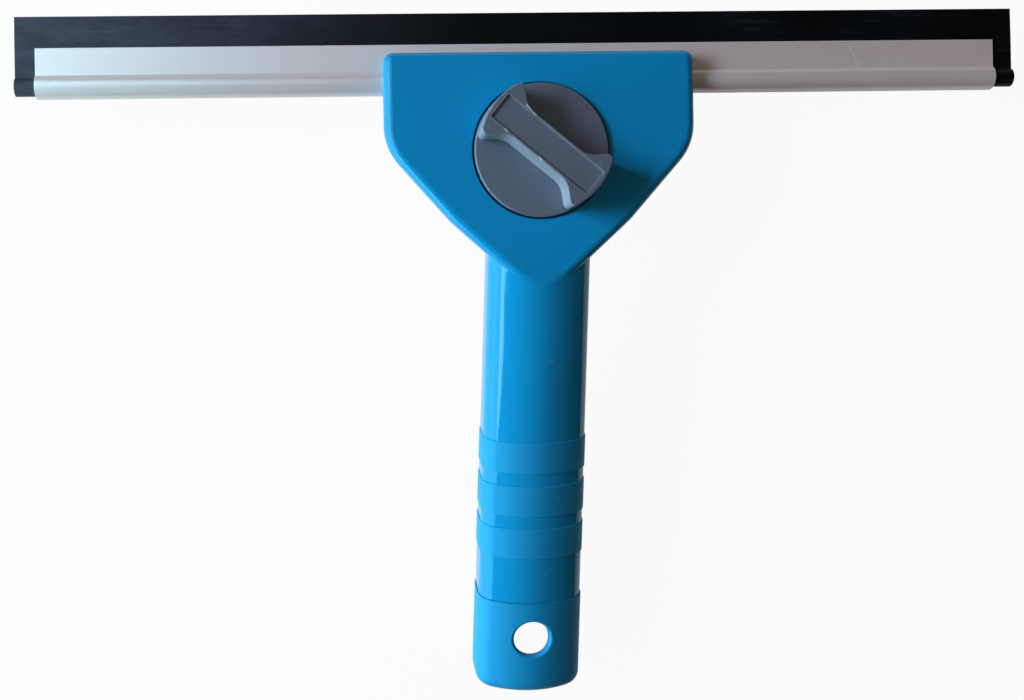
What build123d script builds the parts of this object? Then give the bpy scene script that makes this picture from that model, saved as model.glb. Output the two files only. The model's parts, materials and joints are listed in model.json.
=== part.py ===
from build123d import *
from math import asin, atan2, cos, degrees, hypot, radians, sin, tan
import os

# Window squeegee lying on its back, in millimetres and degrees.
# X runs along the blade, Y points from the grip to the blade and Z is up.
# The origin is the middle of the tool's footprint on the table.

# Rubber blade
blade_length = 350.0
blade_reach = 11.1  # rubber standing above the rail's lips
blade_thickness = 2.2
blade_edge_thickness = 1.7
blade_gap = 0.12  # play between the rubber and the rail

# Aluminium rail: a tube with two lips
rail_length = 335.6
rail_tube_diameter = 8.4
rail_wall = 0.95
rail_lip_height = 13.2  # from the tube's centre to the lips' edge
rail_lip_round = 0.3
rail_drop = 9.1  # tube's centre below the head's top edge
rail_shift = 5.5  # the rail is clamped this far to the left in the head
slot_gap = 0.2  # play between the rail and what clamps it

# Head of the handle
head_width = 108.4
head_depth = 28.0
head_plate = 3.5
head_wall = 3.0
head_shoulder_drop = 32.75  # the straight sides end here
head_taper_angle = 48.65  # the tapering sides run down at this angle to the top edge
head_knee_drop = 58.55  # the taper turns flatter here
head_foot_angle = 42.25
head_top_radius = 3.5
head_shoulder_radius = 20.0
head_knee_radius = 20.0
head_end_radius = 8.0
head_draft = 7.5  # the head's sides close in towards its back at this angle
head_rim_radius = 3.0
head_back_radius = 1.0
cavity_drop = 60.0  # lower end of the space behind the plate
seat_ledge = 2.8  # front seat below the rail's tube

# Grip
grip_angle = 16.0  # the grip leans back from the head's face
grip_bend_rise = 7.13  # the grip's front leaves the head's face this far above the taper's point
grip_half_width = 18.0
grip_front_depth = 15.0  # axis to front
grip_back_depth = 13.0  # axis to back
grip_front_crown = 6.5  # fall of the front from its middle to its sides
grip_back_crown = 8.0
grip_corner_radius = 8.0
grip_growth = 1.1  # added to the half width and both depths on the way to the cap
grip_wall = 3.0
grip_root = 22.0  # length of the grip that stands inside the head
grip_knee_radius = 6.0  # where the grip's front turns into the head's face
bore_root = 8.0
band_start = 58.3
band_width = 11.7
band_pitch = 16.6
band_count = 3
band_relief = 0.3
band_edge_radius = 0.2

# End cap with the hanging eye
grip_length = 158.7
cap_length = 37.6
cap_relief = 0.35  # the cap stands proud of the grip by this much
cap_end_radius = 5.0
cap_seam = 0.15  # fine gap that shows between grip and cap
spigot_length = 14.0
spigot_gap = 0.05
spigot_wall = 2.5
eye_diameter = 13.4
eye_setback = 23.4  # from the eye's centre to the cap's end
eye_depth = 5.6  # lower end of the eye's sleeve below its centre at the front
eye_sleeve_wall = 2.0
eye_roof = 4.0  # thickness of the cap's front at the eye
eye_lip_radius = 1.0
pocket_width = 25.0
pocket_radius = 5.0
pocket_top_wall = 4.0
pocket_end_wall = 4.0
heel_length = 28.5  # from the heel's start to the cap's end
heel_angle = 24.0

# Knob in its well
knob_diameter = 46.0
knob_drop = 34.4  # knob's axis below the head's top edge
knob_angle = -39.8  # direction of the bar, seen from the front
knob_disc_rise = 1.6
knob_disc_round = 0.5
knob_core_depth = 1.2
knob_core_wall = 2.5
bar_height = 11.2
bar_waist = 11.2
bar_waist_length = 25.2
bar_flare_angle = 42.0
bar_rim_inset = 0.5  # bar's ends inside the disc's edge
bar_waist_radius = 8.0
bar_corner_radius = 1.8
bar_edge_radius = 0.5
bar_core_width = 6.5
bar_core_length = 34.0
bar_core_floor = 3.0  # plastic left between the bar's core and the stud's head
strip_width = 9.7
strip_length = 41.4
strip_thickness = 1.6
strip_sink = 0.9  # strip's face below the bar's top
strip_gap = 0.1
strip_corner_radius = 0.8
well_depth = 3.0
well_floor = 2.3
well_gap = 0.6
well_wall = 2.5
well_edge_round = 0.4
hub_diameter = 13.8
running_gap = 0.05  # radial play of what turns or slides in a bore

# Clamp screw
stud_diameter = 8.0
stud_head_diameter = 11.0
stud_head_thickness = 2.0
stud_tip_gap = 0.4
stud_tip_chamfer = 0.8
thrust_washer_thickness = 0.4
washer_thickness = 1.0
washer_diameter = 18.0
clip_thickness = 1.0
clip_diameter = 15.0
clip_groove_depth = 0.6
clip_mouth_angle = 70.0
axial_gap = 0.05  # play of the knob along its axis
stud_clearance = 0.4  # round the stud in the jaw
nut_across_flats = 13.0
nut_thickness = 6.5

# Clamping jaw behind the rail
jaw_travel = 1.6
jaw_stop_gap = 0.2
jaw_side_gap = 0.5
jaw_web = 4.0
jaw_top_drop = 0.8
jaw_nose_gap = 0.3  # jaw's front behind the rail's middle
jaw_boss_front = 12.0  # bosses of the jaw start this deep behind the head's face
jaw_rib = 3.0
jaw_pad_thickness = 1.0
jaw_pad_inset = 4.0
nut_boss_wall = 3.2
pin_diameter = 5.0
pin_length = 19.0
pin_seat_depth = 6.0
pin_chamfer = 0.5
pin_spacing = 66.0
pin_drop = 22.0
pin_boss_diameter = 10.0
pin_boss_length = 7.0

# Back cover and its screws
cover_thickness = 3.0
cover_gap = 0.2
cover_screw_insets = ((12.5, 29.0), (37.0, 54.5))  # from the head's side and from its top
post_diameter = 8.0
post_gap = 0.6
screw_diameter = 3.4
screw_head_diameter = 7.0
screw_length = 13.0
screw_sink = 0.2
screw_gap = 0.05
screw_slot_width = 1.0
screw_slot_depth = 0.9
open_end = 10.0  # cuts run out past open sides by this much

# Sizes worked out from the driving dimensions
head_knee_half = head_width / 2 - (head_knee_drop - head_shoulder_drop) / tan(radians(head_taper_angle))
head_tip_drop = head_knee_drop + head_knee_half * tan(radians(head_foot_angle))
head_end_half = grip_bend_rise / tan(radians(head_foot_angle))
head_draft_inset = head_depth * tan(radians(head_draft))
grip_bend_drop = head_tip_drop - grip_bend_rise
cap_start = grip_length - cap_length
heel_start = grip_length - heel_length
tube_radius = rail_tube_diameter / 2
lip_gap_half = blade_thickness / 2 + blade_gap
lip_half = lip_gap_half + rail_wall
bead_radius = tube_radius - rail_wall - blade_gap
rail_depth = well_depth + well_floor + slot_gap + tube_radius
seat_drop = rail_drop + tube_radius + slot_gap + seat_ledge
knob_radius = knob_diameter / 2
well_radius = knob_radius + well_gap
well_back = well_depth + well_floor
disc_back = well_depth - thrust_washer_thickness - axial_gap
jaw_back = head_depth - cover_thickness - jaw_travel - jaw_stop_gap
cover_front = head_depth - cover_thickness
pad_inner_radius = tube_radius + slot_gap
pad_outer_radius = pad_inner_radius + jaw_pad_thickness
blade_top = rail_lip_height + blade_reach
eye_station = grip_length - eye_setback
bar_top = knob_disc_rise + bar_height


def grip_sizes(station):
    """Half width, front depth and back depth of the grip at a distance along it."""
    growth = grip_growth * station / cap_start
    return grip_half_width + growth, grip_front_depth + growth, grip_back_depth + growth


def grip_point(station, rise):
    """Point of the grip's middle plane, as head-plane height and depth; rise is from the axis."""
    lean = radians(grip_angle)
    along = (-cos(lean), -sin(lean))
    out = (-sin(lean), cos(lean))
    lift = rise - grip_front_depth
    return (
        -grip_bend_drop + station * along[0] + lift * out[0],
        station * along[1] + lift * out[1],
    )


# The tool rests on the head's upper back edge and on the start of the cap's slanted heel
heel_point = grip_point(heel_start, -grip_sizes(heel_start)[2] - cap_relief)
edge_point = (-head_back_radius, head_back_radius - head_depth)
rest_rise = edge_point[1] - heel_point[1]
rest_run = edge_point[0] - heel_point[0]
rest_tilt = atan2(rest_rise, rest_run) - asin(head_back_radius / hypot(rest_rise, rest_run))
head_height = heel_point[0] * sin(rest_tilt) - heel_point[1] * cos(rest_tilt)
end_rise = grip_sizes(grip_length)[1] + cap_relief - cap_end_radius
end_centre = grip_point(grip_length - cap_end_radius, end_rise)
front_reach = (
    (blade_top - rail_drop) * cos(rest_tilt) - (rail_depth - blade_edge_thickness / 2) * sin(rest_tilt)
)
back_reach = end_centre[0] * cos(rest_tilt) + end_centre[1] * sin(rest_tilt) - cap_end_radius
head_place = -(front_reach + back_reach) / 2

# Working planes
head = Plane(
    origin=(rail_shift, head_place, head_height),
    x_dir=(1, 0, 0),
    z_dir=(0, sin(rest_tilt), cos(rest_tilt)),
)
side = Plane(origin=head.origin, x_dir=head.y_dir, z_dir=head.x_dir)
rail_side = side.offset(-rail_shift)
grip_axis_start = grip_point(0, 0)
grip_direction = -head.y_dir * cos(radians(grip_angle)) - head.z_dir * sin(radians(grip_angle))
grip = Plane(
    origin=head.from_local_coords((0, *grip_axis_start)),
    x_dir=head.x_dir,
    z_dir=grip_direction,
)
eye = Plane(
    origin=grip.from_local_coords((0, grip_sizes(eye_station)[1] + cap_relief, eye_station)),
    x_dir=head.x_dir,
    z_dir=head.z_dir,
)
cap_front = Plane(origin=eye.origin, x_dir=head.x_dir, z_dir=grip.y_dir)
heel = Plane(
    origin=grip.from_local_coords((0, -grip_sizes(heel_start)[2] - cap_relief, heel_start)),
    x_dir=head.x_dir,
    z_dir=grip.z_dir * sin(radians(heel_angle)) - grip.y_dir * cos(radians(heel_angle)),
)
knob_face = Plane(
    origin=head.from_local_coords((0, -knob_drop, 0)),
    x_dir=head.x_dir * cos(radians(knob_angle)) + head.y_dir * sin(radians(knob_angle)),
    z_dir=head.z_dir,
)
front_axis = Axis(head.origin, head.z_dir)
up_axis = Axis(head.origin, head.y_dir)
grip_axis = Axis(grip.origin, grip.z_dir)

shield_side_radii = (head_shoulder_radius, head_knee_radius, head_end_radius)
shield_radii = (0, 0, *shield_side_radii, *reversed(shield_side_radii))
cover_screws_at = [
    (hand * (head_width / 2 - inset), -drop) for inset, drop in cover_screw_insets for hand in (-1, 1)
]
guide_pins_at = [(-pin_spacing / 2, -pin_drop), (pin_spacing / 2, -pin_drop)]


def shield_corners(top):
    """Corners of the head's front view, its straight sides running up to a height."""
    half = head_width / 2
    return (
        (-half, top),
        (half, top),
        (half, -head_shoulder_drop),
        (head_knee_half, -head_knee_drop),
        (head_end_half, -grip_bend_drop),
        (-head_end_half, -grip_bend_drop),
        (-head_knee_half, -head_knee_drop),
        (-half, -head_shoulder_drop),
    )


def cavity_outline(depth, gap, upper, lower):
    """Front view of the space inside the head, less a gap, between two heights."""
    with BuildSketch(head.offset(-depth)) as outline:
        with BuildLine():
            FilletPolyline(*shield_corners(2 * open_end), radius=shield_radii, close=True)
        make_face()
        offset(amount=-head_draft_inset - head_wall - gap)
        with Locations((0, (upper + lower) / 2)):
            Rectangle(head_width, upper - lower, mode=Mode.INTERSECT)
    return outline.sketch


def crowned_outline(plane, half_width, front, back, crowns, radius):
    """Cross-section with straight sides, round corners and a crowned front and back."""
    front_side = front - crowns[0]
    back_side = crowns[1] - back
    with BuildSketch(plane) as outline:
        with BuildLine():
            ThreePointArc((-half_width, front_side), (0, front), (half_width, front_side))
            Line((half_width, front_side), (half_width, back_side))
            ThreePointArc((half_width, back_side), (0, -back), (-half_width, back_side))
            Line((-half_width, back_side), (-half_width, front_side))
        make_face()
        fillet(outline.vertices(), radius=radius)
    return outline.sketch


def grip_outline(station, relief):
    """Cross-section of the grip at a distance along it."""
    sizes = (size + relief for size in grip_sizes(station))
    crowns = (grip_front_crown, grip_back_crown)
    return crowned_outline(grip.offset(station), *sizes, crowns, grip_corner_radius + relief)


def grip_stretch(start, end, relief, mode=Mode.ADD):
    """Length of the grip between two distances along it."""
    loft([grip_outline(start, relief), grip_outline(end, relief)], ruled=True, mode=mode)


def keyhole(radius, half_gap, top):
    """Side view of the rail's outside, from the tube up to a height above its centre."""
    with Locations((-rail_drop, -rail_depth)):
        Circle(radius)
        Rectangle(top, 2 * half_gap, align=(Align.MIN, Align.CENTER))


# Rubber blade: a round bead and a web that thins towards the wiping edge
with BuildPart() as rubber_blade:
    with BuildSketch(rail_side):
        with Locations((-rail_drop, -rail_depth)):
            Circle(bead_radius)
            Rectangle(rail_lip_height, blade_thickness, align=(Align.MIN, Align.CENTER))
            with Locations((rail_lip_height, 0)):
                Trapezoid(
                    blade_thickness,
                    blade_reach,
                    degrees(atan2(blade_reach, (blade_thickness - blade_edge_thickness) / 2)),
                    rotation=-90,
                    align=(Align.CENTER, Align.MIN),
                )
    extrude(amount=blade_length / 2, both=True)
rubber_blade.part.label = "rubber_blade"

# Rail
with BuildPart() as rail:
    with BuildSketch(rail_side):
        keyhole(tube_radius, lip_half, rail_lip_height)
        with Locations((-rail_drop, -rail_depth)):
            Circle(tube_radius - rail_wall, mode=Mode.SUBTRACT)
            Rectangle(
                2 * rail_lip_height, 2 * lip_gap_half, align=(Align.MIN, Align.CENTER), mode=Mode.SUBTRACT
            )
    extrude(amount=rail_length / 2, both=True)
    lip_edges = edges().filter_by(Axis.X).group_by(Axis(head.origin, head.y_dir))[-1]
    fillet(lip_edges, radius=rail_lip_round)
rail.part.label = "rail"

# Raised bands of the grip
with BuildPart() as grip_bands:
    for index in range(band_count):
        start = band_start + band_pitch * index
        grip_stretch(start, start + band_width, band_relief)
    fillet(grip_bands.faces().filter_by(grip_axis).edges(), radius=band_edge_radius)

# Head with its sides drawn in towards the back
with BuildPart() as head_form:
    with BuildSketch(head):
        with BuildLine():
            FilletPolyline(*shield_corners(0), radius=shield_radii, close=True)
        make_face()
    extrude(amount=-head_depth)
    walls = head_form.faces().sort_by(up_axis)[:-1].filter_by(front_axis, reverse=True)
    draft(walls, neutral_plane=head, angle=-head_draft)
    top_face = head_form.faces().sort_by(up_axis)[-1]
    fillet(top_face.edges().filter_by(Axis.X, reverse=True), radius=head_top_radius)
    fillet(head_form.faces().sort_by(front_axis)[-1].edges(), radius=head_rim_radius)
    fillet(head_form.faces().sort_by(front_axis)[0].edges(), radius=head_back_radius)

# Grip, cut off level with the head's face where it runs up into the head
with BuildPart() as grip_form:
    grip_stretch(-grip_root, cap_start - cap_seam, 0)
    split(bisect_by=head, keep=Keep.BOTTOM)
    knee = grip_form.faces().sort_by(front_axis)[-1].edges().filter_by(Axis.X, reverse=True)
    fillet(knee, radius=grip_knee_radius)

# Space inside the grip
with BuildPart() as grip_bore:
    grip_stretch(-bore_root, cap_start, -grip_wall)
    split(bisect_by=head.offset(-head_plate), keep=Keep.BOTTOM)

# Handle: head and grip in one moulding
with BuildPart() as handle:
    add(head_form.part)
    add(grip_form.part)
    add(grip_bands.part)
    add(grip_bore.part, mode=Mode.SUBTRACT)
    # Space for the jaw, with the front seat left standing in front of the rail
    extrude(
        cavity_outline(head_plate, 0, -seat_drop, -cavity_drop), amount=-head_depth, mode=Mode.SUBTRACT
    )
    extrude(cavity_outline(rail_depth, 0, open_end, -cavity_drop), amount=-head_depth, mode=Mode.SUBTRACT)
    # Floor of the knob's well, guide-pin bosses and cover posts
    with BuildSketch(head.offset(-head_plate / 2)):
        with Locations((0, -knob_drop)):
            Circle(well_radius + well_wall)
    extrude(amount=head_plate / 2 - well_back)
    with BuildSketch(head.offset(-head_plate / 2)):
        with Locations(*guide_pins_at):
            Circle(pin_boss_diameter / 2)
    extrude(amount=-head_plate / 2 - pin_boss_length)
    with BuildSketch(head.offset(-head_plate / 2)):
        with Locations(*cover_screws_at):
            Circle(post_diameter / 2)
    extrude(amount=head_plate / 2 - cover_front)
    # Slot for the rail, through both side walls and open at the top
    with BuildSketch(side):
        keyhole(tube_radius + slot_gap, lip_half + slot_gap, rail_lip_height + open_end)
    extrude(amount=head_width, both=True, mode=Mode.SUBTRACT)
    # Well of the knob and the holes
    with BuildSketch(head):
        with Locations((0, -knob_drop)):
            Circle(well_radius)
    extrude(amount=-well_depth, mode=Mode.SUBTRACT)
    with BuildSketch(head):
        with Locations((0, -knob_drop)):
            Circle(hub_diameter / 2 + running_gap)
    extrude(amount=-well_back, mode=Mode.SUBTRACT)
    pin_front = head_plate + pin_boss_length - pin_seat_depth
    with BuildSketch(head.offset(-pin_front)):
        with Locations(*guide_pins_at):
            Circle(pin_diameter / 2)
    extrude(amount=-pin_seat_depth, mode=Mode.SUBTRACT)
    with BuildSketch(head.offset(-cover_front)):
        with Locations(*cover_screws_at):
            Circle(screw_diameter / 2 + screw_gap)
    extrude(amount=screw_length, mode=Mode.SUBTRACT)
    well_rim = handle.edges().filter_by(GeomType.CIRCLE).filter_by(
        lambda edge: abs(edge.radius - well_radius) < running_gap
    )
    fillet(well_rim.sort_by(front_axis)[-1], radius=well_edge_round)
handle.part.label = "handle"

# End cap: plug, hanging eye, and a pocket behind the eye that opens on a slanted heel
pocket_top = cap_start + pocket_top_wall
pocket_end = grip_length - pocket_end_wall
with BuildPart() as eye_pocket:
    with BuildSketch(cap_front.offset(-eye_roof)):
        with Locations((0, eye_station - (pocket_top + pocket_end) / 2)):
            RectangleRounded(pocket_width, pocket_end - pocket_top, pocket_radius)
    extrude(amount=-grip_length)
    # Sleeve of the eye, left standing in the pocket
    with BuildSketch(eye.offset(-eye_depth)):
        Circle(eye_diameter / 2 + eye_sleeve_wall)
    extrude(amount=2 * eye_depth, mode=Mode.SUBTRACT)
with BuildPart() as end_cap:
    grip_stretch(cap_start, grip_length, cap_relief)
    fillet(end_cap.faces().sort_by(grip_axis)[-1].edges(), radius=cap_end_radius)
    split(bisect_by=heel, keep=Keep.BOTTOM)
    grip_stretch(cap_start - spigot_length, cap_start, -grip_wall - spigot_gap)
    grip_stretch(
        cap_start - spigot_length, cap_start, -grip_wall - spigot_gap - spigot_wall, mode=Mode.SUBTRACT
    )
    add(eye_pocket.part, mode=Mode.SUBTRACT)
    with BuildSketch(eye):
        Circle(eye_diameter / 2)
    extrude(amount=2 * eye_depth, both=True, mode=Mode.SUBTRACT)
    fillet(end_cap.edges(Select.NEW).sort_by(front_axis)[-1], radius=eye_lip_radius)
end_cap.part.label = "end_cap"

# Back cover
with BuildPart() as back_cover:
    extrude(
        cavity_outline(head_depth, cover_gap, -jaw_top_drop, -cavity_drop + cover_gap), amount=cover_thickness
    )
    with BuildSketch(head.offset(-head_depth)):
        with Locations(*cover_screws_at):
            Circle(screw_diameter / 2 + screw_gap)
    extrude(amount=cover_thickness, mode=Mode.SUBTRACT)
    screw_cone = (screw_head_diameter - screw_diameter) / 2
    with Locations(head.offset(-head_depth)):
        with Locations(*cover_screws_at):
            Cone(
                screw_head_diameter / 2 + screw_sink + screw_gap,
                screw_diameter / 2 + screw_gap,
                screw_cone + screw_sink,
                align=(Align.CENTER, Align.CENTER, Align.MIN),
                mode=Mode.SUBTRACT,
            )
back_cover.part.label = "back_cover"

# Countersunk cover screws
with BuildPart() as cover_screws:
    with Locations(head.offset(-head_depth + screw_sink)):
        with Locations(*cover_screws_at):
            Cone(
                screw_head_diameter / 2,
                screw_diameter / 2,
                screw_cone,
                align=(Align.CENTER, Align.CENTER, Align.MIN),
            )
            Cylinder(
                screw_diameter / 2, screw_length, align=(Align.CENTER, Align.CENTER, Align.MIN)
            )
            Box(
                screw_slot_width,
                screw_head_diameter,
                2 * screw_slot_depth,
                mode=Mode.SUBTRACT,
            )
cover_screws.part.label = "cover_screws"

# Guide pins of the jaw
with BuildPart() as guide_pins:
    with BuildSketch(head.offset(-pin_front)):
        with Locations(*guide_pins_at):
            Circle(pin_diameter / 2)
    extrude(amount=-pin_length)
    chamfer(guide_pins.edges().filter_by(GeomType.CIRCLE), length=pin_chamfer)
guide_pins.part.label = "guide_pins"

# Knob: disc, hub and a waisted grip bar
bar_waist_end = bar_waist_length / 2
bar_side = bar_waist / 2
bar_end = knob_radius + open_end
bar_end_side = bar_side + (bar_end - bar_waist_end) * tan(radians(bar_flare_angle))
strip_floor = bar_top - strip_sink - strip_thickness
stud_head_top = knob_disc_rise
with BuildPart() as knob:
    with BuildSketch(knob_face.offset(-disc_back)):
        Circle(knob_radius)
    extrude(amount=disc_back + knob_disc_rise)
    fillet(knob.edges().sort_by(front_axis)[-1], radius=knob_disc_round)
    with BuildSketch(knob_face.offset(-disc_back)):
        Circle(knob_radius - knob_core_wall)
        Circle(hub_diameter / 2 + knob_core_wall, mode=Mode.SUBTRACT)
    extrude(amount=knob_core_depth, mode=Mode.SUBTRACT)
    with BuildSketch(knob_face.offset(-well_back)):
        Circle(hub_diameter / 2)
    extrude(amount=well_back - disc_back)
    with BuildSketch(knob_face.offset(knob_disc_rise)) as bar_outline:
        with BuildLine():
            FilletPolyline(
                (-bar_end, bar_end_side),
                (-bar_waist_end, bar_side),
                (bar_waist_end, bar_side),
                (bar_end, bar_end_side),
                (bar_end, -bar_end_side),
                (bar_waist_end, -bar_side),
                (-bar_waist_end, -bar_side),
                (-bar_end, -bar_end_side),
                radius=(0, bar_waist_radius, bar_waist_radius, 0, 0, bar_waist_radius, bar_waist_radius, 0),
                close=True,
            )
        make_face()
        Circle(knob_radius - bar_rim_inset, mode=Mode.INTERSECT)
        rim_corners = bar_outline.vertices().group_by(lambda corner: round(abs(corner.X), 3))[-1]
        fillet(rim_corners, radius=bar_corner_radius)
    extrude(amount=bar_height)
    fillet(knob.faces().sort_by(front_axis)[-1].edges(), radius=bar_edge_radius)
    with BuildSketch(knob_face.offset(strip_floor)):
        RectangleRounded(strip_length, strip_width, strip_corner_radius)
    extrude(amount=bar_top, mode=Mode.SUBTRACT)
    with BuildSketch(knob_face.offset(stud_head_top + bar_core_floor)):
        RectangleRounded(bar_core_length, bar_core_width, strip_corner_radius)
    extrude(amount=bar_top, mode=Mode.SUBTRACT)
    # Seat of the moulded-in stud
    with BuildSketch(knob_face.offset(stud_head_top)):
        Circle(stud_head_diameter / 2)
    extrude(amount=-stud_head_thickness, mode=Mode.SUBTRACT)
    with BuildSketch(knob_face):
        Circle(stud_diameter / 2)
    extrude(amount=-well_back, mode=Mode.SUBTRACT)
knob.part.label = "knob"

# Strip that covers the bar's core
with BuildPart() as knob_strip:
    with BuildSketch(knob_face.offset(strip_floor)):
        RectangleRounded(
            strip_length - 2 * strip_gap, strip_width - 2 * strip_gap, strip_corner_radius - strip_gap
        )
    extrude(amount=strip_thickness)
knob_strip.part.label = "knob_strip"

# Clamp stud: a flat head moulded into the knob and a plain shank for the thread
clip_front = well_back + 2 * axial_gap + washer_thickness
with BuildPart() as clamp_stud:
    with BuildSketch(knob_face.offset(stud_head_top)):
        Circle(stud_head_diameter / 2)
    extrude(amount=-stud_head_thickness)
    with BuildSketch(knob_face):
        Circle(stud_diameter / 2)
    extrude(amount=stud_tip_gap - cover_front)
    chamfer(clamp_stud.edges().sort_by(front_axis)[0], length=stud_tip_chamfer)
    with BuildSketch(knob_face.offset(-clip_front)):
        Circle(stud_diameter)
        Circle(stud_diameter / 2 - clip_groove_depth, mode=Mode.SUBTRACT)
    extrude(amount=-clip_thickness, mode=Mode.SUBTRACT)
clamp_stud.part.label = "clamp_stud"

# Thin washer that the disc turns on
with BuildPart() as thrust_washer:
    with BuildSketch(knob_face.offset(-well_depth)):
        Circle(knob_radius - knob_core_wall)
        Circle(hub_diameter / 2 + running_gap, mode=Mode.SUBTRACT)
    extrude(amount=thrust_washer_thickness)
thrust_washer.part.label = "thrust_washer"

# Washer and clip that hold the knob from behind
with BuildPart() as backing_washer:
    with BuildSketch(knob_face.offset(-well_back - axial_gap)):
        Circle(washer_diameter / 2)
        Circle(stud_diameter / 2 + running_gap, mode=Mode.SUBTRACT)
    extrude(amount=-washer_thickness)
backing_washer.part.label = "backing_washer"

mouth_depth = clip_diameter * cos(radians(clip_mouth_angle / 2))
mouth_side = clip_diameter * sin(radians(clip_mouth_angle / 2))
with BuildPart() as retaining_clip:
    with BuildSketch(knob_face.offset(-clip_front)):
        Circle(clip_diameter / 2)
        Circle(stud_diameter / 2 - clip_groove_depth, mode=Mode.SUBTRACT)
        with BuildLine():
            Polyline((0, 0), (mouth_depth, mouth_side), (mouth_depth, -mouth_side), close=True)
        make_face(mode=Mode.SUBTRACT)
    extrude(amount=-clip_thickness)
retaining_clip.part.label = "retaining_clip"

# Clamping jaw
nut_boss_radius = nut_across_flats / 2 + nut_boss_wall
lip_back = rail_depth + lip_half + slot_gap
jaw_half_width = head_width / 2 - head_draft_inset - head_wall - jaw_side_gap
jaw_rib_place = nut_boss_radius - jaw_rib / 2
with BuildPart() as clamp_jaw:
    # Bar along the rail
    with BuildSketch(side):
        with Locations((-jaw_top_drop, -jaw_back)):
            Rectangle(
                seat_drop - jaw_top_drop,
                jaw_back - rail_depth - jaw_nose_gap,
                align=(Align.MAX, Align.MIN),
            )
        with Locations((-rail_drop, -rail_depth)):
            Circle(pad_outer_radius, mode=Mode.SUBTRACT)
        with Locations((-rail_drop, -lip_back)):
            Rectangle(2 * rail_drop, lip_back, align=(Align.MIN, Align.MIN), mode=Mode.SUBTRACT)
    extrude(amount=jaw_half_width, both=True)
    # Web below the bar
    extrude(
        cavity_outline(jaw_back, jaw_side_gap, -seat_drop + jaw_web, -cavity_drop + jaw_side_gap),
        amount=jaw_web,
    )
    # Bosses for the nut and the guide pins, with ribs up to the bar
    with BuildSketch(head.offset(-jaw_back)):
        with Locations((0, -knob_drop)):
            Circle(nut_boss_radius)
        with Locations(*guide_pins_at):
            Circle(pin_boss_diameter / 2)
        with Locations((-jaw_rib_place, -knob_drop), (jaw_rib_place, -knob_drop)):
            Rectangle(jaw_rib, knob_drop - rail_drop - pad_outer_radius, align=(Align.CENTER, Align.MIN))
    extrude(amount=jaw_back - jaw_boss_front)
    # Holes for the stud, nut and pins, and clearance round the cover posts
    with BuildSketch(head.offset(-jaw_back)):
        with Locations((0, -knob_drop)):
            Circle(stud_diameter / 2 + stud_clearance)
        with Locations(*guide_pins_at):
            Circle(pin_diameter / 2 + running_gap)
        with Locations(*cover_screws_at):
            Circle(post_diameter / 2 + post_gap)
    extrude(amount=head_depth, mode=Mode.SUBTRACT)
    with BuildSketch(head.offset(-jaw_back)):
        with Locations((0, -knob_drop)):
            RegularPolygon(nut_across_flats / 2, 6, major_radius=False)
    extrude(amount=nut_thickness, mode=Mode.SUBTRACT)
clamp_jaw.part.label = "clamp_jaw"

# Rubber lining of the jaw's groove
with BuildPart() as jaw_pad:
    with BuildSketch(side):
        with Locations((-rail_drop, -rail_depth)):
            Circle(pad_outer_radius)
            Circle(pad_inner_radius, mode=Mode.SUBTRACT)
        with Locations((-rail_drop, -rail_depth - jaw_nose_gap)):
            Rectangle(4 * tube_radius, 4 * tube_radius, align=(Align.CENTER, Align.MIN), mode=Mode.SUBTRACT)
        with Locations((-rail_drop, -lip_back)):
            Rectangle(2 * rail_drop, lip_back, align=(Align.MIN, Align.MIN), mode=Mode.SUBTRACT)
    extrude(amount=jaw_half_width - jaw_pad_inset, both=True)
jaw_pad.part.label = "jaw_pad"

# Nut in the jaw's pocket
with BuildPart() as clamp_nut:
    with BuildSketch(head.offset(-jaw_back)):
        with Locations((0, -knob_drop)):
            RegularPolygon(nut_across_flats / 2, 6, major_radius=False)
            Circle(stud_diameter / 2 + running_gap, mode=Mode.SUBTRACT)
    extrude(amount=nut_thickness)
clamp_nut.part.label = "clamp_nut"

os.makedirs("parts", exist_ok=True)
pieces = (
    rubber_blade,
    rail,
    handle,
    end_cap,
    back_cover,
    cover_screws,
    guide_pins,
    knob,
    knob_strip,
    clamp_stud,
    thrust_washer,
    backing_washer,
    retaining_clip,
    clamp_jaw,
    jaw_pad,
    clamp_nut,
)
for piece in pieces:
    export_step(piece.part, f"parts/{piece.part.label}.step")
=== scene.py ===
import json
from math import cos, radians, sin

import bpy
from mathutils import Matrix, Vector

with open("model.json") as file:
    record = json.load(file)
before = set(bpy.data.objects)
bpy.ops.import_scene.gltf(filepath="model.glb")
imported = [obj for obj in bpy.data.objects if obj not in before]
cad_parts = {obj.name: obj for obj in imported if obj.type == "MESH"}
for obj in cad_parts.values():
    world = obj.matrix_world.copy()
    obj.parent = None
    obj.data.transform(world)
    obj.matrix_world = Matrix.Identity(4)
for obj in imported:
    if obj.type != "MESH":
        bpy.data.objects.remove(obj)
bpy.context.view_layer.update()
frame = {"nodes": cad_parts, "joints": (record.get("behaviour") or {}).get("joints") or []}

# Sizes in metres and angles in degrees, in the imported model's frame
mm = 0.001
knob_drop = 34.4 * mm  # knob's axis below the head's top edge
grip_angle = 16.0  # the grip leans back from the head's face
grip_bend_drop = 80.03 * mm  # the grip's front leaves the head's face here, below the top edge
grip_front_depth = 15.0 * mm  # the grip's axis lies this far behind its front
band_start = 58.3 * mm  # the first raised band starts here, down the grip
band_width = 11.7 * mm
band_pitch = 16.6 * mm
band_count = 3
knob_angle = -39.8  # turn of the knob's bar on the head
bar_foot = 1.6 * mm  # the bar stands on the knob's disc, this far above the head's face
bar_top = 12.8 * mm

# Camera, measured from the knob along the head's own axes
camera_place = Vector((-75.15, -67.08, 424.80)) * mm
camera_turn = (0.05, 1.93, 1.00)
image_width = 1024
focal_pixels = 1245.3
centre_pixel = 367.2  # the lens looks straight at this column of the picture
sensor_width = 36.0
nearest_seen = 10 * mm

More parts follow.
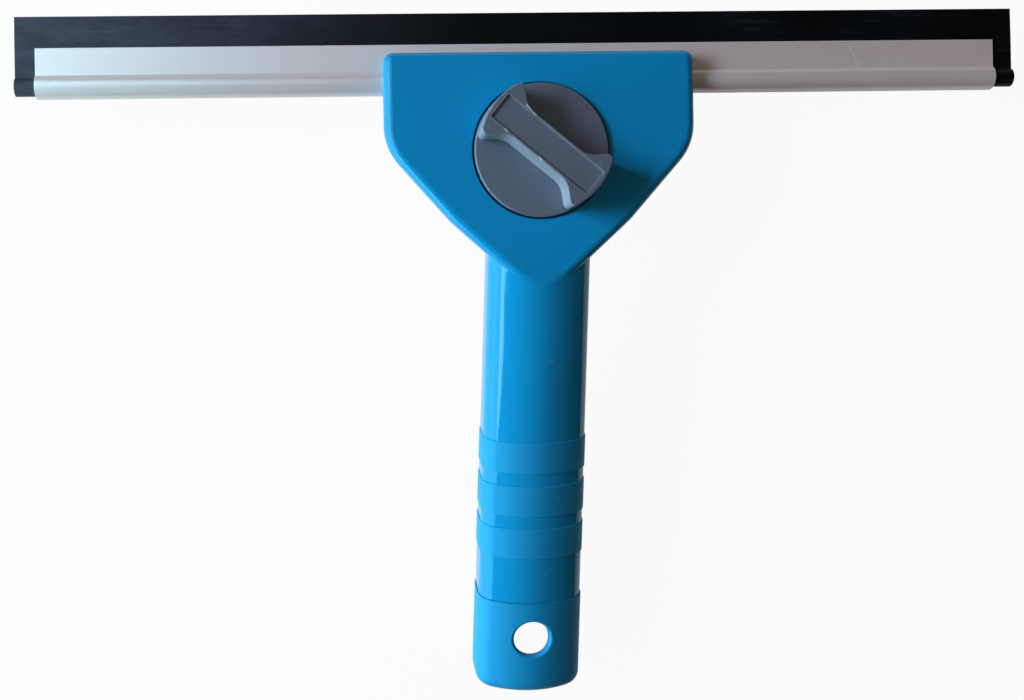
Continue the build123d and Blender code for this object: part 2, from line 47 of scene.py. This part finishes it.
# Noise textures: the values that a finish spreads over its own range
usual_span = (0.3, 0.7)
smear_span = (0.3, 0.75)
fine_span = (0.2, 0.8)
grain_span = (0.25, 0.75)

# Dust: chance of a speck in a cell, and the largest speck as a share of its cell
dust_chance = 0.03
dust_size = 0.16

# Worn edges, which also carry a painted highlight: inner occlusion of a flat face and of a sharp edge
edge_span = (0.95, 0.55)
edge_samples = 8

# Blue plastic; colours are linear, and a pair of values is the two ends of a range
blue_tones = ((0.0034, 0.279, 0.585, 1), (0.0040, 0.303, 0.630, 1))
blue_dust = (0.55, 0.7, 0.78, 1)
blue_dust_share = 0.10
gloss_roughness = (0.05, 0.10)
satin_roughness = (0.52, 0.60)
blue_specular = 0.35
smear_stretch = (1.0, 1.0, 0.35)  # smears run along the grip
wave_share = 0.25  # height of the soft waves beside that of the satin's grain

# Grey plastic of the knob, its strip and the jaw
knob_tones = ((0.100, 0.127, 0.173, 1), (0.122, 0.152, 0.206, 1))
strip_tones = ((0.106, 0.133, 0.181, 1), (0.127, 0.158, 0.214, 1))
grey_dust = (0.4, 0.42, 0.45, 1)
grey_dust_share = 0.35
grey_roughness = (0.36, 0.48)
grey_specular = 0.8
# Paler grey of the knob's edges and bar walls: partly worn plastic, partly painted highlight and painted
# light
worn_and_highlit_grey = (0.34, 0.41, 0.48, 1)
edge_wear_and_highlight_share = (0.35, 0.75)
wall_wear_and_light_share = (0.4, 0.65)
wall_fade = 0.7 * mm  # the paler walls of the knob's bar, worn and painted as lit, fade out over this height
flash_grey = (0.62, 0.66, 0.70, 1)
flash_share = 0.9

# Aluminium of the rail
rail_tones = ((0.75, 0.66, 0.64, 1), (0.83, 0.74, 0.72, 1))
# White of the painted highlights on the rail's edges, and of its one scratch
rail_highlight_and_scratch = (1.0, 1.0, 1.0, 1)
rail_edge_highlight_share = 0.8
rail_scratch_share = 0.5
rail_metallic = 0.35
rail_roughness = (0.36, 0.46)

# Rubber of the blade and of the jaw's pad
rubber_black = (0.0012, 0.0013, 0.0021, 1)
# Grey of the dust streaks and of the painted sheen towards the blade's far end
rubber_sheen_and_dust = (0.072, 0.078, 0.112, 1)
rubber_roughness = (0.42, 0.58)
rubber_specular = 0.15
sheen_ends = (-20 * mm, -175 * mm)  # the painted sheen starts and is full here, from the knob along the blade
sheen_share = (0.44, 0.76)
sheen_stretch = (0.4, 1.0, 1.0)  # the painted sheen's patches run along the blade
streak_span = (0.55, 0.75)
patch_span = (0.45, 0.7)
streak_share = 0.4

# Steel of the clamp and the screws, nylon of the thrust washer
steel_tones = ((0.52, 0.53, 0.55, 1), (0.66, 0.66, 0.66, 1))
steel_metallic = 1.0
steel_roughness = (0.24, 0.38)
nylon_tones = ((0.62, 0.60, 0.54, 1), (0.74, 0.72, 0.66, 1))
nylon_roughness = (0.38, 0.5)

# Single marks: start, run and width, in the axes of the head and of the knob
rail_scratch = ((111.3 * mm, 36.3 * mm, 0), (2.8 * mm, -7.5 * mm, 0), 0.45 * mm)
knob_flash = (
    ((-13.6 * mm, 5.7 * mm, 0), (4.4 * mm, -0.5 * mm, 0), 0.5 * mm),
    ((-14.4 * mm, -5.1 * mm, 0), (1.3 * mm, -0.2 * mm, 0), 0.4 * mm),
    ((0.4 * mm, -5.1 * mm, 0), (1.2 * mm, -0.1 * mm, 0), 0.4 * mm),
)

# Stage and light
floor_half = 3.0
floor_tones = ((0.78, 0.78, 0.78, 1), (0.82, 0.82, 0.82, 1))
floor_roughness = 0.9
floor_white = (1, 1, 1, 1)
floor_white_strength = 1.0
floor_white_share = 0.95  # the rest of what the camera sees is the lit floor, with the shadow
floor_gloss_share = 0.65  # how much of that white is mirrored in gloss
daylight = (0.74, 0.83, 1.0)
bounced_daylight = (0.70, 1.0, 1.0)
sky = (0.34, 0.86, 1.0)
pale_sky = (0.72, 0.86, 1.0)
lamplight = (1.0, 0.60, 0.32)
room_colour = (1.0, 0.93, 0.86, 1)
room_strength = 0.055

# Frames of the head, the grip and the knob
joints = {joint["name"]: joint for joint in frame["joints"]}
along = Vector((1, 0, 0))
head_normal = Vector(joints["knob_turn"]["axis"]).normalized()
head_up = head_normal.cross(along)
knob_centre = Vector(joints["knob_turn"]["pos_m"])
lean = radians(grip_angle)
grip_down = -head_up * cos(lean) - head_normal * sin(lean)
grip_front = head_normal * cos(lean) - head_up * sin(lean)
grip_start = knob_centre - head_up * (grip_bend_drop - knob_drop) - grip_front * grip_front_depth


def placed(x_axis, y_axis, z_axis, origin):
    """Matrix of a frame with these axes."""
    turn = Matrix((x_axis, y_axis, z_axis)).transposed()
    return Matrix.Translation(origin) @ turn.to_4x4()


head_frame = placed(along, head_up, head_normal, knob_centre)
grip_frame = placed(grip_front.cross(grip_down), grip_front, grip_down, grip_start)
knob_frame = head_frame @ Matrix.Rotation(radians(knob_angle), 4, "Z")


# Shader nodes
def plug(tree, value, socket):
    """Joins a socket to another node's output, or sets its value."""
    if isinstance(value, bpy.types.NodeSocket):
        tree.links.new(value, socket)
    else:
        socket.default_value = value


def set_inputs(tree, node, inputs):
    """Joins or sets several inputs of a node."""
    for name, value in inputs.items():
        plug(tree, value, node.inputs[name])


def add_node(tree, kind, inputs=None, **settings):
    """New node with settings and inputs."""
    node = tree.nodes.new(kind)
    for name, value in settings.items():
        setattr(node, name, value)
    set_inputs(tree, node, inputs or {})
    return node


def calc(tree, operation, *values):
    """Result of a Math node."""
    node = add_node(tree, "ShaderNodeMath", operation=operation)
    for socket, value in zip(node.inputs, values):
        plug(tree, value, socket)
    return node.outputs["Value"]


def vector_calc(tree, operation, first, second):
    """Result of a Vector Math node, which is a number for a product or a distance."""
    node = add_node(tree, "ShaderNodeVectorMath", {0: first, 1: second}, operation=operation)
    return node.outputs["Value" if operation in ("DOT_PRODUCT", "DISTANCE") else "Vector"]


def ramp(tree, value, span, to=(0.0, 1.0)):
    """Value carried smoothly from one span to another."""
    inputs = {"Value": value, "From Min": span[0], "From Max": span[1], "To Min": to[0], "To Max": to[1]}
    return add_node(tree, "ShaderNodeMapRange", inputs, interpolation_type="SMOOTHSTEP").outputs["Result"]


def mix_colour(tree, share, first, second):
    """Colour between two others; the Mix node's socket names repeat, so they are found by number."""
    return add_node(tree, "ShaderNodeMix", {0: share, 6: first, 7: second}, data_type="RGBA").outputs[2]


def add_pale(tree, colour, mask, pale, share):
    """Colour with a share of a paler one where the mask is one."""
    return mix_colour(tree, calc(tree, "MULTIPLY", mask, share), colour, pale)


def seen_from(tree, place):
    """Object coordinates in a frame of the part."""
    back = place.inverted()
    coords = add_node(tree, "ShaderNodeTexCoord").outputs["Object"]
    inputs = {"Vector": coords, "Location": back.translation, "Rotation": back.to_euler()}
    return add_node(tree, "ShaderNodeMapping", inputs).outputs["Vector"]


def scaled(tree, vector, scale):
    """Coordinates stretched along their axes."""
    return add_node(tree, "ShaderNodeMapping", {"Vector": vector, "Scale": scale}).outputs["Vector"]


def axis_of(tree, vector, axis):
    """One axis of some coordinates."""
    return add_node(tree, "ShaderNodeSeparateXYZ", {"Vector": vector}).outputs[axis]


def noise(tree, vector, scale, detail=2.0, roughness=0.5):
    """Value of a noise texture."""
    inputs = {"Vector": vector, "Scale": scale, "Detail": detail, "Roughness": roughness}
    return add_node(tree, "ShaderNodeTexNoise", inputs).outputs["Fac"]


# Effects that several finishes share
def new_group(name, inputs, outputs):
    """Empty node group with named sockets, and its two end nodes."""
    group = bpy.data.node_groups.new(name, "ShaderNodeTree")
    for socket, kind in inputs.items():
        group.interface.new_socket(socket, in_out="INPUT", socket_type=kind)
    for socket, kind in outputs.items():
        group.interface.new_socket(socket, in_out="OUTPUT", socket_type=kind)
    return group, add_node(group, "NodeGroupInput").outputs, add_node(group, "NodeGroupOutput").inputs


def use_group(tree, group, **inputs):
    """Outputs of a node group placed in a tree."""
    return add_node(tree, "ShaderNodeGroup", inputs, node_tree=group).outputs


def specks_group():
    """Sparse bright specks of dust."""
    group, given, result = new_group(
        "dust_specks",
        {"Vector": "NodeSocketVector", "Cells": "NodeSocketFloat", "Share": "NodeSocketFloat"},
        {"Mask": "NodeSocketFloat"},
    )
    inputs = {"Vector": given["Vector"], "Scale": given["Cells"]}
    cells = add_node(group, "ShaderNodeTexVoronoi", inputs, feature="F1").outputs
    chance = add_node(group, "ShaderNodeSeparateColor", {"Color": cells["Color"]}).outputs
    chosen = calc(group, "LESS_THAN", chance["Red"], given["Share"])
    size = calc(group, "MULTIPLY", chance["Green"], dust_size)
    spot = calc(group, "LESS_THAN", cells["Distance"], size)
    plug(group, calc(group, "MULTIPLY", chosen, spot), result["Mask"])
    return group


def scratches_group():
    """Fine lines that run along the first axis, and patches."""
    group, given, result = new_group(
        "fine_scratches",
        {"Vector": "NodeSocketVector", "Length": "NodeSocketFloat", "Width": "NodeSocketFloat"},
        {"Lines": "NodeSocketFloat", "Patches": "NodeSocketFloat"},
    )
    lengthwise = calc(group, "DIVIDE", 1.0, given["Length"])
    across = calc(group, "DIVIDE", 1.0, given["Width"])
    stretch = add_node(group, "ShaderNodeCombineXYZ", {"X": lengthwise, "Y": across, "Z": across})
    drawn = vector_calc(group, "MULTIPLY", given["Vector"], stretch.outputs["Vector"])
    plug(group, noise(group, drawn, scale=1.0, detail=3.0), result["Lines"])
    plug(group, noise(group, given["Vector"], scale=30.0, detail=3.0, roughness=0.6), result["Patches"])
    return group


def edges_group():
    """Mask of the outer edges, where a piece gets worn and where paler colour is a painted highlight."""
    group, given, result = new_group(
        "worn_and_highlit_edges", {"Width": "NodeSocketFloat"}, {"Mask": "NodeSocketFloat"}
    )
    inner = add_node(
        group,
        "ShaderNodeAmbientOcclusion",
        {"Distance": given["Width"]},
        inside=True,
        only_local=True,
        samples=edge_samples,
    )
    plug(group, ramp(group, inner.outputs["AO"], edge_span), result["Mask"])
    return group


def mark_group():
    """Short straight mark on a face that looks along the third axis."""
    group, given, result = new_group(
        "line_mark",
        {
            "Vector": "NodeSocketVector",
            "Start": "NodeSocketVector",
            "Run": "NodeSocketVector",
            "Width": "NodeSocketFloat",
        },
        {"Mask": "NodeSocketFloat"},
    )
    flat = vector_calc(group, "MULTIPLY", given["Vector"], (1, 1, 0))
    reach = vector_calc(group, "SUBTRACT", flat, given["Start"])
    covered = vector_calc(group, "DOT_PRODUCT", reach, given["Run"])
    whole = vector_calc(group, "DOT_PRODUCT", given["Run"], given["Run"])
    share = calc(group, "DIVIDE", covered, whole)
    share = calc(group, "MAXIMUM", calc(group, "MINIMUM", share, 1.0), 0.0)
    spread = add_node(group, "ShaderNodeCombineXYZ", {"X": share, "Y": share, "Z": share})
    nearest = vector_calc(group, "MULTIPLY", given["Run"], spread.outputs["Vector"])
    away = vector_calc(group, "DISTANCE", reach, nearest)
    plug(group, ramp(group, away, (given["Width"], 0.0)), result["Mask"])
    return group


dust_specks = specks_group()
fine_scratches = scratches_group()
worn_and_highlit_edges = edges_group()
line_mark = mark_group()


def add_mark(tree, colour, coords, mark, pale, share):
    """Colour with one pale mark in it."""
    start, run, width = mark
    mask = use_group(tree, line_mark, Vector=coords, Start=start, Run=run, Width=width)["Mask"]
    return add_pale(tree, colour, mask, pale, share)


# Finishes
def new_material(name):
    """Material with one Principled shader, and that shader."""
    material = bpy.data.materials.new(name)
    material.use_nodes = True
    tree = material.node_tree
    shader = next(node for node in tree.nodes if node.type == "BSDF_PRINCIPLED")
    return material, tree, shader


def bump(tree, height, distance, strength):
    """Normal with bumps."""
    inputs = {"Height": height, "Distance": distance, "Strength": strength}
    return add_node(tree, "ShaderNodeBump", inputs).outputs["Normal"]


def band_mask(tree, station):
    """One on the raised bands of the grip."""
    run = calc(tree, "SUBTRACT", station, band_start)
    phase = calc(tree, "WRAP", run, band_pitch, 0.0)
    in_band = calc(tree, "LESS_THAN", phase, band_width)
    after = calc(tree, "GREATER_THAN", run, 0.0)
    before = calc(tree, "LESS_THAN", run, band_pitch * band_count)
    return calc(tree, "MULTIPLY", in_band, calc(tree, "MULTIPLY", after, before))


def blue_plastic(name, satin_everywhere):
    """Moulded blue plastic, glossy with satin bands, or satin all over."""
    material, tree, shader = new_material(name)
    grip = seen_from(tree, grip_frame)
    satin = 1.0 if satin_everywhere else band_mask(tree, axis_of(tree, grip, "Z"))
    cloud = noise(tree, grip, scale=35.0, detail=3.0)
    tint = mix_colour(tree, cloud, *blue_tones)
    specks = use_group(tree, dust_specks, Vector=grip, Cells=260.0, Share=dust_chance)["Mask"]
    fine = noise(tree, grip, scale=2600.0, detail=2.0)
    waves = noise(tree, grip, scale=160.0, detail=1.0)
    smears = noise(tree, scaled(tree, grip, smear_stretch), scale=60.0, detail=4.0, roughness=0.65)
    gloss = ramp(tree, smears, smear_span, gloss_roughness)
    matt = ramp(tree, fine, fine_span, satin_roughness)
    dulled = calc(tree, "MULTIPLY", satin, calc(tree, "SUBTRACT", matt, gloss))
    grain = calc(tree, "MULTIPLY", fine, satin)
    height = calc(tree, "ADD", calc(tree, "MULTIPLY", waves, wave_share), grain)
    sockets = {
        "Base Color": add_pale(tree, tint, specks, blue_dust, blue_dust_share),
        "Roughness": calc(tree, "ADD", gloss, dulled),
        "Specular IOR Level": blue_specular,
        "Normal": bump(tree, height, distance=0.02 * mm, strength=0.6),
    }
    set_inputs(tree, shader, sockets)
    return material


def bar_walls(tree, knob):
    """One on the walls of the knob's bar, between its foot and its top."""
    height = axis_of(tree, knob, "Z")
    above = ramp(tree, height, (bar_foot, bar_foot + wall_fade))
    below = ramp(tree, height, (bar_top, bar_top - wall_fade))
    return calc(tree, "MULTIPLY", above, below)


def grey_plastic(name, tones, walls_and_flash=False):
    """Matt grey plastic with a fine grain and paler edges, partly worn and partly a painted highlight; for
    the knob, also paler bar walls, partly worn and partly painted light, and flash.
    """
    material, tree, shader = new_material(name)
    knob = seen_from(tree, knob_frame)
    cloud = noise(tree, knob, scale=90.0, detail=4.0, roughness=0.6)
    colour = mix_colour(tree, cloud, *tones)
    specks = use_group(tree, dust_specks, Vector=knob, Cells=420.0, Share=dust_chance)["Mask"]
    colour = add_pale(tree, colour, specks, grey_dust, grey_dust_share)
    # Paler edges: partly worn, partly a painted highlight
    edges = use_group(tree, worn_and_highlit_edges, Width=0.5 * mm)["Mask"]
    wear_and_highlight = calc(tree, "MULTIPLY", edges, ramp(tree, cloud, usual_span, edge_wear_and_highlight_share))
    if walls_and_flash:
        # Paler bar walls: partly worn by fingers, partly painted light standing in for the lit walls
        wall_wear_and_light = ramp(tree, cloud, usual_span, wall_wear_and_light_share)
        wear_and_highlight = calc(tree, "MAXIMUM", wear_and_highlight, calc(tree, "MULTIPLY", bar_walls(tree, knob), wall_wear_and_light))
    colour = mix_colour(tree, wear_and_highlight, colour, worn_and_highlit_grey)
    for mark in knob_flash if walls_and_flash else ():
        colour = add_mark(tree, colour, knob, mark, flash_grey, flash_share)
    grain = noise(tree, knob, scale=2200.0, detail=3.0, roughness=0.6)
    sockets = {
        "Base Color": colour,
        "Roughness": ramp(tree, grain, grain_span, grey_roughness),
        "Specular IOR Level": grey_specular,
        "Normal": bump(tree, grain, distance=0.03 * mm, strength=0.7),
    }
    set_inputs(tree, shader, sockets)
    return material


def drawn_aluminium():
    """Satin aluminium with drawing lines along its length, painted highlights on its edges and one scratch.
    """
    material, tree, shader = new_material("drawn_aluminium")
    coords = seen_from(tree, head_frame)
    lines = use_group(tree, fine_scratches, Vector=coords, Length=40 * mm, Width=0.12 * mm)["Lines"]
    colour = mix_colour(tree, lines, *rail_tones)
    # Edges painted white: a painted highlight
    edges = use_group(tree, worn_and_highlit_edges, Width=0.4 * mm)["Mask"]
    colour = add_pale(tree, colour, edges, rail_highlight_and_scratch, rail_edge_highlight_share)
    sockets = {
        "Base Color": add_mark(tree, colour, coords, rail_scratch, rail_highlight_and_scratch, rail_scratch_share),
        "Metallic": rail_metallic,
        "Roughness": ramp(tree, lines, usual_span, rail_roughness),
        "Normal": bump(tree, lines, distance=0.01 * mm, strength=0.5),
    }
    set_inputs(tree, shader, sockets)
    return material


def black_rubber():
    """Black rubber with a painted grey sheen towards one end and pale dust smeared along it."""
    material, tree, shader = new_material("black_rubber")
    coords = seen_from(tree, head_frame)
    streaks = use_group(tree, fine_scratches, Vector=coords, Length=18 * mm, Width=0.6 * mm)
    streaked = ramp(tree, streaks["Lines"], streak_span)
    dust = calc(tree, "MULTIPLY", streaked, ramp(tree, streaks["Patches"], patch_span))
    # Painted sheen: paler grey growing towards the blade's far end, broken into patches
    sheen_patches = noise(tree, scaled(tree, coords, sheen_stretch), scale=170.0, detail=4.0, roughness=0.6)
    sheen_along = ramp(tree, axis_of(tree, coords, "X"), sheen_ends)
    painted_sheen = calc(tree, "MULTIPLY", sheen_along, ramp(tree, sheen_patches, usual_span, sheen_share))
    pale = calc(tree, "ADD", painted_sheen, calc(tree, "MULTIPLY", dust, streak_share))
    fine = noise(tree, coords, scale=1800.0, detail=2.0)
    sockets = {
        "Base Color": mix_colour(tree, pale, rubber_black, rubber_sheen_and_dust),
        "Roughness": ramp(tree, streaks["Patches"], usual_span, rubber_roughness),
        "Specular IOR Level": rubber_specular,
        "Normal": bump(tree, fine, distance=0.02 * mm, strength=0.5),
    }
    set_inputs(tree, shader, sockets)
    return material


def zinc_steel():
    """Bright plated steel with faint turning marks."""
    material, tree, shader = new_material("zinc_steel")
    coords = seen_from(tree, head_frame)
    marks = use_group(tree, fine_scratches, Vector=coords, Length=6 * mm, Width=0.15 * mm)
    sockets = {
        "Base Color": mix_colour(tree, marks["Patches"], *steel_tones),
        "Metallic": steel_metallic,
        "Roughness": ramp(tree, marks["Lines"], usual_span, steel_roughness),
        "Normal": bump(tree, marks["Lines"], distance=0.01 * mm, strength=0.4),
    }
    set_inputs(tree, shader, sockets)
    return material


def nylon():
    """Natural nylon, slightly milky."""
    material, tree, shader = new_material("nylon")
    cloud = noise(tree, seen_from(tree, head_frame), scale=200.0, detail=3.0)
    sockets = {
        "Base Color": mix_colour(tree, cloud, *nylon_tones),
        "Roughness": ramp(tree, cloud, usual_span, nylon_roughness),
    }
    set_inputs(tree, shader, sockets)
    return material


blue_gloss = blue_plastic("blue_gloss", False)
blue_satin = blue_plastic("blue_satin", True)
knob_grey = grey_plastic("knob_grey", knob_tones, walls_and_flash=True)
strip_grey = grey_plastic("strip_grey", strip_tones)
aluminium = drawn_aluminium()
rubber = black_rubber()
steel = zinc_steel()
milky_nylon = nylon()

finishes = {
    "handle": blue_gloss,
    "end_cap": blue_satin,
    "back_cover": blue_satin,
    "cover_screws": steel,
    "guide_pins": steel,
    "knob": knob_grey,
    "knob_strip": strip_grey,
    "clamp_stud": steel,
    "thrust_washer": milky_nylon,
    "backing_washer": steel,
    "retaining_clip": steel,
    "clamp_jaw": strip_grey,
    "jaw_pad": rubber,
    "clamp_nut": steel,
    "rail": aluminium,
    "rubber_blade": rubber,
}
for node_name, finish in finishes.items():
    for slot in frame["nodes"][node_name].material_slots:
        slot.material = finish


# Stage
def floor_material():
    """Pale floor that the camera sees as white, with the part's soft shadow left on it."""
    material, tree, shader = new_material("pale_floor")
    grain = noise(tree, seen_from(tree, Matrix.Identity(4)), scale=40.0, detail=3.0)
    sockets = {"Base Color": mix_colour(tree, grain, *floor_tones), "Roughness": floor_roughness}
    set_inputs(tree, shader, sockets)
    light_path = add_node(tree, "ShaderNodeLightPath").outputs
    in_gloss = calc(tree, "MULTIPLY", light_path["Is Glossy Ray"], floor_gloss_share)
    seen = calc(tree, "MAXIMUM", light_path["Is Camera Ray"], in_gloss)
    seen = calc(tree, "MAXIMUM", seen, light_path["Is Transmission Ray"])
    share = calc(tree, "MULTIPLY", seen, floor_white_share)
    inputs = {"Color": floor_white, "Strength": floor_white_strength}
    glow = add_node(tree, "ShaderNodeEmission", inputs).outputs["Emission"]
    mixed = add_node(tree, "ShaderNodeMixShader", {0: share, 1: shader.outputs["BSDF"], 2: glow})
    output = next(node for node in tree.nodes if node.type == "OUTPUT_MATERIAL")
    plug(tree, mixed.outputs["Shader"], output.inputs["Surface"])
    return material


bpy.ops.mesh.primitive_plane_add(size=2 * floor_half, location=(0, 0, 0))
floor = bpy.context.object
floor.name = "floor"
floor.data.materials.append(floor_material())


# Light: a soft window and its bounce on the left, a wall and panes that only gloss shows, and weak fills
def area_light(name, colour, power, azimuth, elevation, distance, size, in_gloss=True, in_matt=True):
    """Soft rectangular lamp that faces the knob; its angles are in the head's axes, from its left side."""
    data = bpy.data.lights.new(name, "AREA")
    data.shape = "RECTANGLE"
    data.size, data.size_y = size
    data.energy = power
    data.color = colour
    lamp = bpy.data.objects.new(name, data)
    around = radians(azimuth)
    up = radians(elevation)
    direction = Vector((-cos(around) * cos(up), sin(around) * cos(up), sin(up)))
    reach = (head_frame.to_3x3() @ direction) * distance
    lamp.location = knob_centre + reach
    lamp.rotation_euler = reach.to_track_quat("Z", "Y").to_euler()
    lamp.visible_glossy = in_gloss
    lamp.visible_diffuse = in_matt
    bpy.context.scene.collection.objects.link(lamp)


area_light(
    "left_window", daylight, power=14.1,
    azimuth=9, elevation=31, distance=1.20, size=(0.6, 0.34), in_gloss=False,
)
area_light(
    "left_bounce", bounced_daylight, power=4.4,
    azimuth=-20, elevation=4, distance=0.70, size=(0.7, 0.12), in_gloss=False,
)
area_light(
    "left_wall", sky, power=8.0,
    azimuth=-14, elevation=14, distance=0.90, size=(1.4, 0.55), in_matt=False,
)
area_light(
    "upper_pane", sky, power=4.2,
    azimuth=0, elevation=46.0, distance=0.72, size=(1.5, 0.075), in_matt=False,
)
area_light(
    "lower_pane", sky, power=2.0,
    azimuth=0, elevation=38.5, distance=0.72, size=(1.5, 0.032), in_matt=False,
)
area_light(
    "ceiling_left", pale_sky, power=0.75,
    azimuth=29, elevation=61, distance=0.76, size=(0.5, 0.4), in_matt=False,
)
area_light(
    "lamp_right", lamplight, power=0.62,
    azimuth=162, elevation=49, distance=0.80, size=(0.5, 0.4), in_gloss=False,
)

world = bpy.data.worlds.new("studio")
world.use_nodes = True
background = next(node for node in world.node_tree.nodes if node.type == "BACKGROUND")
set_inputs(world.node_tree, background, {"Color": room_colour, "Strength": room_strength})
bpy.context.scene.world = world

# Camera at the photograph's viewing angle
turn_x, turn_y, turn_z = (radians(angle) for angle in camera_turn)
view_axes = (
    Matrix.Rotation(turn_z, 3, "Z") @ Matrix.Rotation(turn_y, 3, "Y") @ Matrix.Rotation(turn_x, 3, "X")
).transposed()
camera_data = bpy.data.cameras.new("camera")
camera_data.sensor_width = sensor_width
camera_data.lens = focal_pixels * sensor_width / image_width
camera_data.shift_x = 0.5 - centre_pixel / image_width
camera_data.clip_start = nearest_seen
camera = bpy.data.objects.new("camera", camera_data)
camera.matrix_world = head_frame @ Matrix.Translation(camera_place) @ view_axes.to_4x4()
bpy.context.scene.collection.objects.link(camera)
bpy.context.scene.camera = camera

bpy.context.scene.view_settings.view_transform = "Standard"
